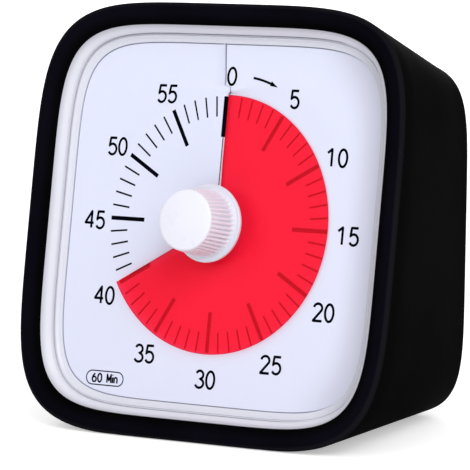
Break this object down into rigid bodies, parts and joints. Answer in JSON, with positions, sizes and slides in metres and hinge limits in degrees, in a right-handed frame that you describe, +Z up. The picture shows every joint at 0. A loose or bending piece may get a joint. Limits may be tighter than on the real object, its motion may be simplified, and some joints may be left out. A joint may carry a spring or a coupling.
{
  "type": "visual countdown timer",
  "caption": "Square tabletop countdown timer in a black silicone cover: turning the white fluted knob screws a red film disc out through a slit in the dial to show the minutes left.",
  "frame": {"origin": "centre of the box round the timer, on the surface it stands on", "axes": "+X to the right of someone facing the dial, +Y away from them through the timer, +Z up; the dial faces -Y and leans back"},
  "size_m": [0.0904, 0.0546, 0.0881],
  "materials": {
    "silicone_black": "matte, dust-catching",
    "case_white": "fine spark texture",
    "dial_white": "smooth matte",
    "bezel_white": "glossy",
    "knob_white": "satin gloss",
    "film_red": "translucent film",
    "hub_red": "moulded",
    "brass": "turned",
    "spring_brass": "stamped",
    "acetal": "moulded",
    "ferrite": "ground",
    "stator_steel": "stamped",
    "bobbin_blue": "moulded",
    "copper_wire": "enamelled winding",
    "movement_white": "moulded",
    "screw_steel": "zinc plated",
    "board_green": "solder mask",
    "chip_black": "potted",
    "can_steel": "drawn can",
    "cell_wrap": "plain sleeve",
    "contact_nickel": "nickel plated",
    "switch_black": "moulded",
    "buzzer_black": "moulded",
    "lead_red": "PVC insulation",
    "lead_black": "PVC insulation",
    "lead_yellow": "PVC insulation",
    "lead_white": "PVC insulation"
  },
  "bodies": {
    "case": {"silicone_cover": "silicone_black", "front_case": "case_white", "rear_cover": "case_white", "case_screws": "screw_steel", "bezel_ring": "bezel_white", "dial_plate": "dial_white", "stator": "stator_steel", "coil_bobbin": "bobbin_blue", "coil_winding": "copper_wire", "movement_tray": "movement_white", "movement_lid": "movement_white", "lid_screws": "screw_steel", "movement_screws": "screw_steel", "circuit_board": "board_green", "timer_chip": "chip_black", "quartz_crystal": "can_steel", "alarm_leaf": "spring_brass", "battery": "cell_wrap", "positive_contact": "contact_nickel", "negative_spring": "contact_nickel", "switch_body": "can_steel", "buzzer": "buzzer_black", "red_lead": "lead_red", "black_lead": "lead_black", "buzzer_leads": "lead_yellow", "switch_leads": "lead_white"},
    "knob_set": {"knob": "knob_white", "knob_arbor": "brass", "alarm_cam": "acetal", "clutch_spring": "spring_brass"},
    "disc": {"red_disc": "film_red", "disc_hub": "hub_red"},
    "rotor": {"rotor_magnet": "ferrite", "rotor_pinion": "acetal"},
    "fifth": {"fifth_wheel": "acetal"},
    "seconds": {"seconds_wheel": "acetal"},
    "third": {"third_wheel": "acetal"},
    "minute": {"minute_wheel": "acetal"},
    "door": {"battery_door": "case_white"},
    "sound_switch": {"switch_slider": "switch_black"}
  },
  "joints": [
    {"name": "knob_turn", "type": "hinge", "parent": "case", "child": "knob_set", "pos_m": [0, -0.01325, 0.04295], "axis": [0, 0.9787, -0.2053], "range_deg": [-240, 120]},
    {"name": "disc_climb", "type": "slide", "parent": "knob_set", "child": "disc", "axis": [0, -0.9787, 0.2053], "range_m": [-0.0016, 0.0008]},
    {"name": "rotor_spin", "type": "hinge", "parent": "case", "child": "rotor", "pos_m": [0.00436, 0.00259, 0.05319], "axis": [0, -0.9787, 0.2053], "continuous": true},
    {"name": "fifth_spin", "type": "hinge", "parent": "case", "child": "fifth", "pos_m": [-0.00584, 0.00063, 0.0536], "axis": [0, -0.9787, 0.2053], "continuous": true},
    {"name": "seconds_spin", "type": "hinge", "parent": "case", "child": "seconds", "pos_m": [-0.01524, -0.00203, 0.05067], "axis": [0, -0.9787, 0.2053], "continuous": true},
    {"name": "third_spin", "type": "hinge", "parent": "case", "child": "third", "pos_m": [-0.0126, -0.00611, 0.04145], "axis": [0, -0.9787, 0.2053], "continuous": true},
    {"name": "minute_spin", "type": "hinge", "parent": "case", "child": "minute", "pos_m": [0, -0.00611, 0.04145], "axis": [0, -0.9787, 0.2053], "continuous": true},
    {"name": "door_hinge", "type": "hinge", "parent": "case", "child": "door", "pos_m": [0, 0.02239, 0.01628], "axis": [-1, 0, 0], "range_deg": [0, 100]},
    {"name": "switch_slide", "type": "slide", "parent": "case", "child": "sound_switch", "axis": [1, 0, 0], "range_m": [0, 0.003]}
  ],
  "couplings": [
    {"joint": "knob_turn", "follows": "disc_climb", "rad_per_m": 2618},
    {"joint": "fifth_spin", "follows": "rotor_spin", "ratio": -0.13333},
    {"joint": "seconds_spin", "follows": "rotor_spin", "ratio": 0.033333},
    {"joint": "third_spin", "follows": "rotor_spin", "ratio": -0.0044444},
    {"joint": "minute_spin", "follows": "rotor_spin", "ratio": 0.00055556}
  ]
}
